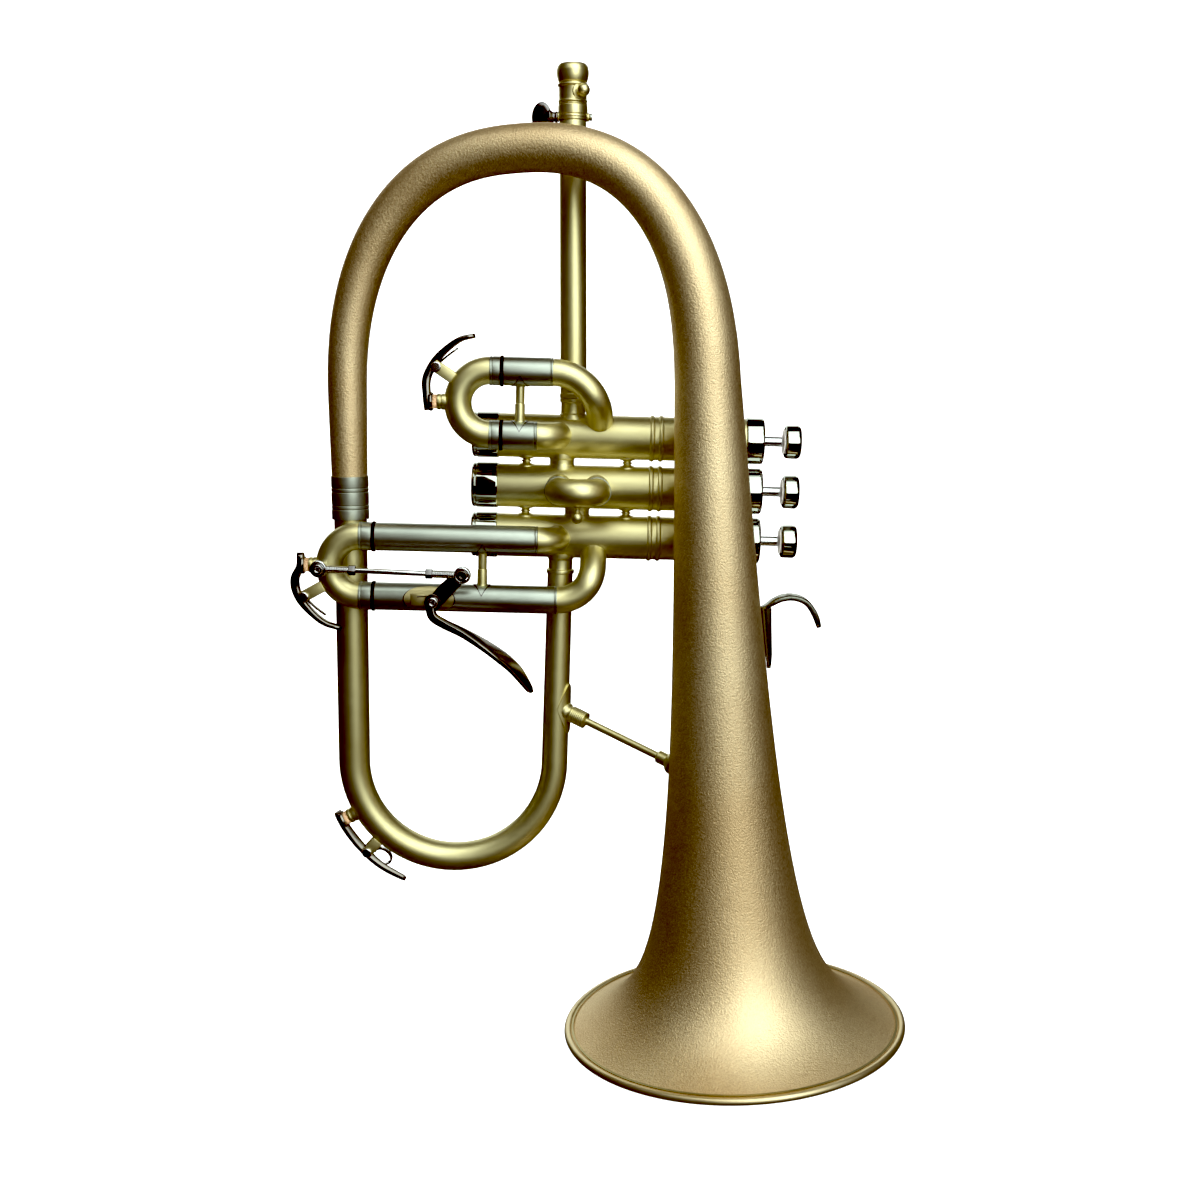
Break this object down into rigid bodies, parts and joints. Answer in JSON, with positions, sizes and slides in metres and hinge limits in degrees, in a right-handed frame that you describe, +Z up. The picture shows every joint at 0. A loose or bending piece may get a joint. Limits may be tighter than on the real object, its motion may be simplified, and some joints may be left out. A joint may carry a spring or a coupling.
{
  "type": "flugelhorn",
  "caption": "Valved brass horn with a wide conical bell standing on its rim, a third-slide trigger, water keys and a sliding mouthpipe.",
  "frame": {"origin": "centre of the bell mouth, on the plane that the rim rests on", "axes": "+Z up along the bell axis, +X towards the finger buttons, +Y away from the side that the small slides face"},
  "size_m": [0.2612, 0.1524, 0.4256],
  "materials": {
    "satin_gold": "satin, bead blasted gold lacquer",
    "satin_brass": "satin brushed brass under clear lacquer",
    "polished_gold": "polished lacquered brass",
    "nickel": "satin nickel silver",
    "chrome_trim": "bright plated",
    "steel": "bright steel",
    "dark_metal": "black finish",
    "black_rubber": "matt",
    "cork": "natural cork"
  },
  "bodies": {
    "root": {"bell_flare": "satin_gold", "bell_rim": "polished_gold", "bell_bow": "satin_gold", "bell_ferrule": "nickel", "main_crook": "satin_brass", "leadpipe": "satin_brass", "clamp_collar": "polished_gold", "valve_casing_1": "satin_brass", "valve_casing_2": "satin_brass", "valve_casing_3": "satin_brass", "top_caps": "chrome_trim", "bottom_caps": "chrome_trim", "valve_links": "satin_brass", "casing_braces": "satin_brass", "first_slide_sleeves": "nickel", "third_slide_sleeves": "nickel", "first_slide_elbows": "satin_brass", "third_slide_elbows": "satin_brass", "second_slide_sleeves": "satin_brass", "slide_braces": "satin_brass", "main_key_saddle": "satin_brass", "trigger_bracket": "satin_brass", "trigger_pivot": "chrome_trim", "bell_brace": "satin_brass", "valve_stays": "satin_brass", "finger_hook": "nickel", "valve_spring_1": "steel", "valve_spring_2": "steel", "valve_spring_3": "steel"},
    "tuning_pipe": {"mouthpiece_receiver": "polished_gold", "mouthpipe": "nickel"},
    "clamp_screw": {"thumb_screw": "chrome_trim"},
    "first_slide": {"first_slide_legs": "nickel", "first_slide_rings": "nickel", "first_slide_crook": "satin_brass", "first_key_saddle": "satin_brass"},
    "first_key": {"first_key_lever": "chrome_trim", "first_key_cork": "cork"},
    "second_slide": {"second_slide_legs": "nickel", "second_slide_crook": "satin_brass"},
    "third_slide": {"third_slide_legs": "nickel", "third_slide_rings": "nickel", "third_slide_crook": "satin_brass", "third_key_saddle": "satin_brass", "rod_stud": "chrome_trim"},
    "third_key": {"third_key_lever": "chrome_trim", "third_key_cork": "cork"},
    "link_rod": {"trigger_rod": "steel"},
    "trigger": {"trigger_lever": "chrome_trim"},
    "main_key": {"main_key_lever": "chrome_trim", "main_key_cork": "cork"},
    "valve_1": {"piston_1": "nickel", "valve_stem_1": "chrome_trim", "finger_button_1": "chrome_trim"},
    "valve_2": {"piston_2": "nickel", "valve_stem_2": "chrome_trim", "finger_button_2": "chrome_trim"},
    "valve_3": {"piston_3": "nickel", "valve_stem_3": "chrome_trim", "finger_button_3": "chrome_trim"}
  },
  "joints": [
    {"name": "valve_1_press", "type": "slide", "parent": "root", "child": "valve_1", "axis": [-0.9971, 0, 0.0767], "range_m": [0, 0.013], "stiffness_N_per_m": 180, "springref_m": -0.012, "deforming": ["valve_spring_1"]},
    {"name": "valve_2_press", "type": "slide", "parent": "root", "child": "valve_2", "axis": [-0.9971, 0, 0.0767], "range_m": [0, 0.013], "stiffness_N_per_m": 180, "springref_m": -0.012, "deforming": ["valve_spring_2"]},
    {"name": "valve_3_press", "type": "slide", "parent": "root", "child": "valve_3", "axis": [-0.9971, 0, 0.0767], "range_m": [0, 0.013], "stiffness_N_per_m": 180, "springref_m": -0.012, "deforming": ["valve_spring_3"]},
    {"name": "tuning_pull", "type": "slide", "parent": "root", "child": "tuning_pipe", "axis": [0.0516, 0, 0.9987], "range_m": [0, 0.02]},
    {"name": "clamp_screw_turn", "type": "hinge", "parent": "root", "child": "clamp_screw", "pos_m": [-0.06097, 0.038, 0.40358], "axis": [-0.9987, 0, 0.0516], "range_deg": [-90, 90]},
    {"name": "first_slide_pull", "type": "slide", "parent": "root", "child": "first_slide", "axis": [-0.9971, 0, 0.0767], "range_m": [0, 0.012]},
    {"name": "second_slide_pull", "type": "slide", "parent": "root", "child": "second_slide", "axis": [0, -1, 0], "range_m": [0, 0.01]},
    {"name": "third_slide_pull", "type": "slide", "parent": "root", "child": "third_slide", "axis": [-0.9971, 0, 0.0767], "range_m": [0, 0.014], "stiffness_N_per_m": 60, "springref_m": -0.02},
    {"name": "trigger_turn", "type": "hinge", "parent": "root", "child": "trigger", "pos_m": [-0.12326, 0.012, 0.19774], "axis": [0, -1, 0], "range_deg": [0, 49.89]},
    {"name": "link_rod_turn", "type": "hinge", "parent": "third_slide", "child": "link_rod", "pos_m": [-0.17139, 0.008, 0.21549], "axis": [0, -1, 0], "range_deg": [0, 6.02]},
    {"name": "first_key_press", "type": "hinge", "parent": "first_slide", "child": "first_key", "pos_m": [-0.11549, 0.021, 0.29935], "axis": [0, 1, 0], "range_deg": [0, 18], "stiffness_Nm_per_rad": 0.05, "springref_deg": -20.05},
    {"name": "third_key_press", "type": "hinge", "parent": "third_slide", "child": "third_key", "pos_m": [-0.18063, 0.021, 0.20216], "axis": [0, -1, 0], "range_deg": [0, 18], "stiffness_Nm_per_rad": 0.05, "springref_deg": -20.05},
    {"name": "main_key_press", "type": "hinge", "parent": "root", "child": "main_key", "pos_m": [-0.16452, 0.038, 0.07786], "axis": [0, -1, 0], "range_deg": [0, 16], "stiffness_Nm_per_rad": 0.05, "springref_deg": -20.05}
  ],
  "couplings": [
    {"joint": "trigger_turn", "follows": "third_slide_pull", "rad_per_m": 62.2},
    {"joint": "link_rod_turn", "follows": "third_slide_pull", "rad_per_m": 7.5}
  ]
}
